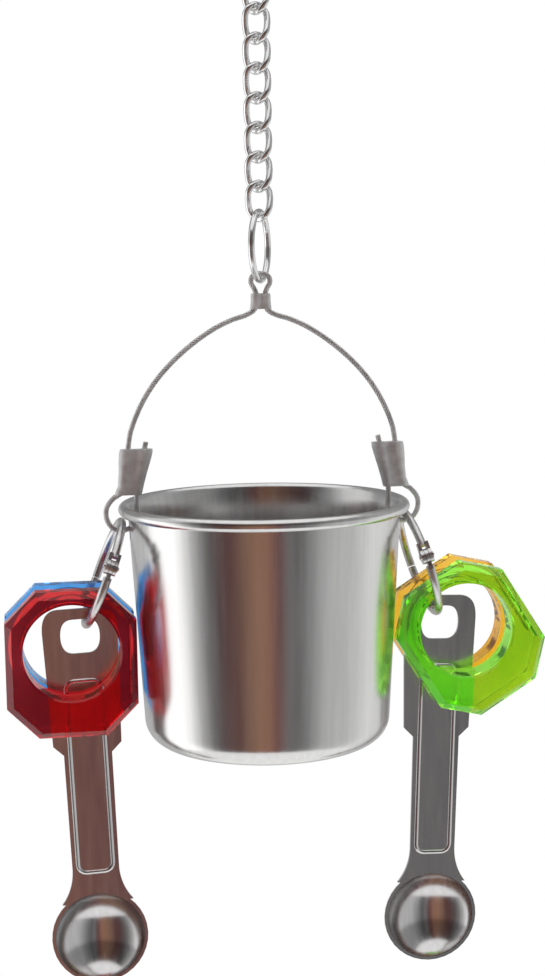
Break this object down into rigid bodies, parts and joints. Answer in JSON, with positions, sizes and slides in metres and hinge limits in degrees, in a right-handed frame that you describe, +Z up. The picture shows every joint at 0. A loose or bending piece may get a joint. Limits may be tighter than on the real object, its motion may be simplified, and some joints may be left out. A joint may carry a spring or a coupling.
{
  "type": "hanging bird feeder swing",
  "caption": "Steel pail on a wire-rope bail and twisted-link chain, with hinged book rings at its sides that carry measuring spoons between faceted translucent rings.",
  "frame": {"origin": "centre of the wire at the top of the first chain link, where a hook holds the swing", "axes": "+Z up, +X along the bail to the side with the green ring, -Y to the side the picture was taken from"},
  "size_m": [0.1944, 0.104, 0.3597],
  "materials": {
    "chain_steel": "bright plated steel",
    "wire_rope": "stranded steel rope",
    "crimp_sleeve": "crimped, matt",
    "pail_steel": "satin, brushed up the wall",
    "clip_steel": "nickel plated wire",
    "pin_steel": "plain",
    "spoon_steel": "polished",
    "red_acrylic": "clear dark red, polished",
    "blue_acrylic": "clear blue, polished",
    "green_acrylic": "clear bright green, polished",
    "orange_acrylic": "clear orange, polished"
  },
  "bodies": {
    "chain_link_1": {"chain_link_1": "chain_steel"},
    "chain_link_2": {"chain_link_2": "chain_steel"},
    "chain_link_3": {"chain_link_3": "chain_steel"},
    "chain_link_4": {"chain_link_4": "chain_steel"},
    "chain_link_5": {"chain_link_5": "chain_steel"},
    "chain_link_6": {"chain_link_6": "chain_steel"},
    "chain_link_7": {"chain_link_7": "chain_steel"},
    "chain_link_8": {"chain_link_8": "chain_steel"},
    "top_ring": {"top_ring": "chain_steel"},
    "bail": {"bail_cable": "wire_rope", "bail_apex_sleeve": "crimp_sleeve", "left_ferrule": "crimp_sleeve", "right_ferrule": "crimp_sleeve"},
    "pail": {"pail": "pail_steel"},
    "left_clip": {"left_clip_upper": "clip_steel", "left_clip_pin": "pin_steel"},
    "left_clip_lower": {"left_clip_lower": "clip_steel"},
    "left_spoon": {"left_spoon": "spoon_steel"},
    "red_ring": {"red_ring": "red_acrylic"},
    "blue_ring": {"blue_ring": "blue_acrylic"},
    "right_clip": {"right_clip_upper": "clip_steel", "right_clip_pin": "pin_steel"},
    "right_clip_lower": {"right_clip_lower": "clip_steel"},
    "right_spoon": {"right_spoon": "spoon_steel"},
    "green_ring": {"green_ring": "green_acrylic"},
    "orange_ring": {"orange_ring": "orange_acrylic"}
  },
  "joints": [
    {"name": "link_1_to_2", "type": "hinge", "parent": "chain_link_1", "child": "chain_link_2", "pos_m": [0, 0, -0.0126], "axis": [0.5299, -0.848, 0], "range_deg": [-18, 18]},
    {"name": "link_2_to_3", "type": "hinge", "parent": "chain_link_2", "child": "chain_link_3", "pos_m": [0, 0, -0.0202], "axis": [0.848, 0.5299, 0], "range_deg": [-18, 18]},
    {"name": "link_3_to_4", "type": "hinge", "parent": "chain_link_3", "child": "chain_link_4", "pos_m": [0, 0, -0.0328], "axis": [0.5299, -0.848, 0], "range_deg": [-18, 18]},
    {"name": "link_4_to_5", "type": "hinge", "parent": "chain_link_4", "child": "chain_link_5", "pos_m": [0, 0, -0.0404], "axis": [0.848, 0.5299, 0], "range_deg": [-18, 18]},
    {"name": "link_5_to_6", "type": "hinge", "parent": "chain_link_5", "child": "chain_link_6", "pos_m": [0, 0, -0.053], "axis": [0.5299, -0.848, 0], "range_deg": [-18, 18]},
    {"name": "link_6_to_7", "type": "hinge", "parent": "chain_link_6", "child": "chain_link_7", "pos_m": [0, 0, -0.0606], "axis": [0.848, 0.5299, 0], "range_deg": [-18, 18]},
    {"name": "link_7_to_8", "type": "hinge", "parent": "chain_link_7", "child": "chain_link_8", "pos_m": [0, 0, -0.0732], "axis": [0.5299, -0.848, 0], "range_deg": [-18, 18]},
    {"name": "ring_swing", "type": "hinge", "parent": "chain_link_8", "child": "top_ring", "pos_m": [0, 0, -0.08075], "axis": [0.3746, 0.9272, 0], "range_deg": [-18, 18]},
    {"name": "bail_rock", "type": "hinge", "parent": "top_ring", "child": "bail", "pos_m": [0, 0, -0.1021], "axis": [1, 0, 0], "range_deg": [-30, 30]},
    {"name": "pail_tip", "type": "hinge", "parent": "bail", "child": "pail", "pos_m": [0, 0, -0.1907], "axis": [1, 0, 0], "range_deg": [-25, 25]},
    {"name": "left_clip_swing", "type": "hinge", "parent": "pail", "child": "left_clip", "pos_m": [-0.051, 0, -0.1887], "axis": [0, 1, 0], "range_deg": [0, 35]},
    {"name": "left_clip_open", "type": "hinge", "parent": "left_clip", "child": "left_clip_lower", "pos_m": [-0.05598, -0.01846, -0.20168], "axis": [-0.9336, 0, 0.3584], "range_deg": [0, 30]},
    {"name": "left_spoon_swing", "type": "hinge", "parent": "left_clip_lower", "child": "left_spoon", "pos_m": [-0.06476, 0, -0.22455], "axis": [0, 1, 0], "range_deg": [-6, 35]},
    {"name": "red_ring_swing", "type": "hinge", "parent": "left_clip_lower", "child": "red_ring", "pos_m": [-0.06429, -0.007, -0.22332], "axis": [0, 1, 0], "range_deg": [0, 30]},
    {"name": "blue_ring_swing", "type": "hinge", "parent": "left_clip_lower", "child": "blue_ring", "pos_m": [-0.06429, 0.007, -0.22332], "axis": [0, 1, 0], "range_deg": [0, 30]},
    {"name": "right_clip_swing", "type": "hinge", "parent": "pail", "child": "right_clip", "pos_m": [0.051, 0, -0.1887], "axis": [0, -1, 0], "range_deg": [0, 35]},
    {"name": "right_clip_open", "type": "hinge", "parent": "right_clip", "child": "right_clip_lower", "pos_m": [0.05507, -0.01846, -0.202], "axis": [-0.9563, 0, -0.2924], "range_deg": [0, 30]},
    {"name": "right_spoon_swing", "type": "hinge", "parent": "right_clip_lower", "child": "right_spoon", "pos_m": [0.06223, 0, -0.22542], "axis": [0, -1, 0], "range_deg": [-6, 35]},
    {"name": "green_ring_swing", "type": "hinge", "parent": "right_clip_lower", "child": "green_ring", "pos_m": [0.06184, -0.007, -0.22416], "axis": [0, -1, 0], "range_deg": [0, 30]},
    {"name": "orange_ring_swing", "type": "hinge", "parent": "right_clip_lower", "child": "orange_ring", "pos_m": [0.06184, 0.007, -0.22416], "axis": [0, -1, 0], "range_deg": [0, 30]}
  ]
}
